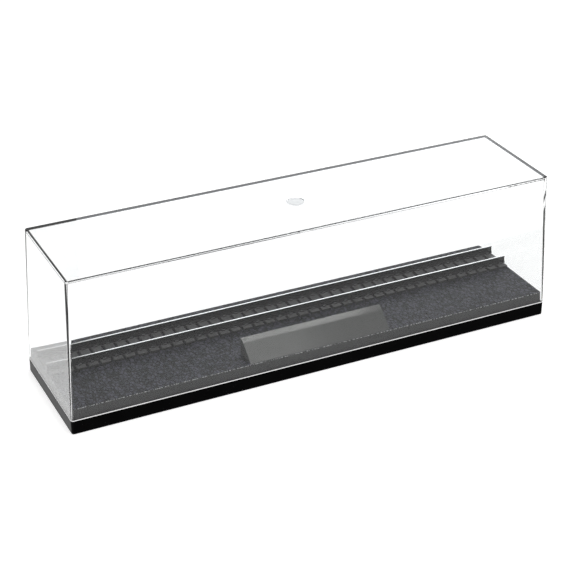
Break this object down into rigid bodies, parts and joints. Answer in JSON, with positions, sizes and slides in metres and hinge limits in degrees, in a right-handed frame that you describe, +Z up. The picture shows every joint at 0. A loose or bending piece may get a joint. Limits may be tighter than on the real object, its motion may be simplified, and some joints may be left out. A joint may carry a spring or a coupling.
{
  "type": "model locomotive display case",
  "caption": "Long clear display case on a black plinth, with a grained deck, a length of model railway track and a sloped blank nameplate under a lift-off cover.",
  "frame": {"origin": "middle of the plinth's underside", "axes": "+X along the case, to the right seen from the nameplate side; +Y to the back, the track side; +Z up"},
  "size_m": [0.35, 0.0856, 0.1062],
  "materials": {
    "plinth_plastic": "smooth black moulding",
    "deck_plastic": "leather-grained black moulding",
    "screw_steel": "zinc-plated",
    "clear_plastic": "clear moulded polystyrene",
    "sleeper_plastic": "dark grey moulding",
    "rail_metal": "nickel silver, blackened below its bare head",
    "plate_plastic": "smooth dark grey, blank"
  },
  "bodies": {
    "base": {"plinth": "plinth_plastic", "deck": "deck_plastic", "deck_screw_front_left": "screw_steel", "deck_screw_front_right": "screw_steel", "deck_screw_rear_left": "screw_steel", "deck_screw_rear_right": "screw_steel", "sleeper_strip": "sleeper_plastic", "rail_front": "rail_metal", "rail_rear": "rail_metal", "nameplate": "plate_plastic"},
    "lid": {"cover": "clear_plastic"}
  },
  "joints": [
    {"name": "cover_lift", "type": "slide", "parent": "base", "child": "lid", "axis": [0, 0, 1], "range_m": [0, 0.12]}
  ]
}
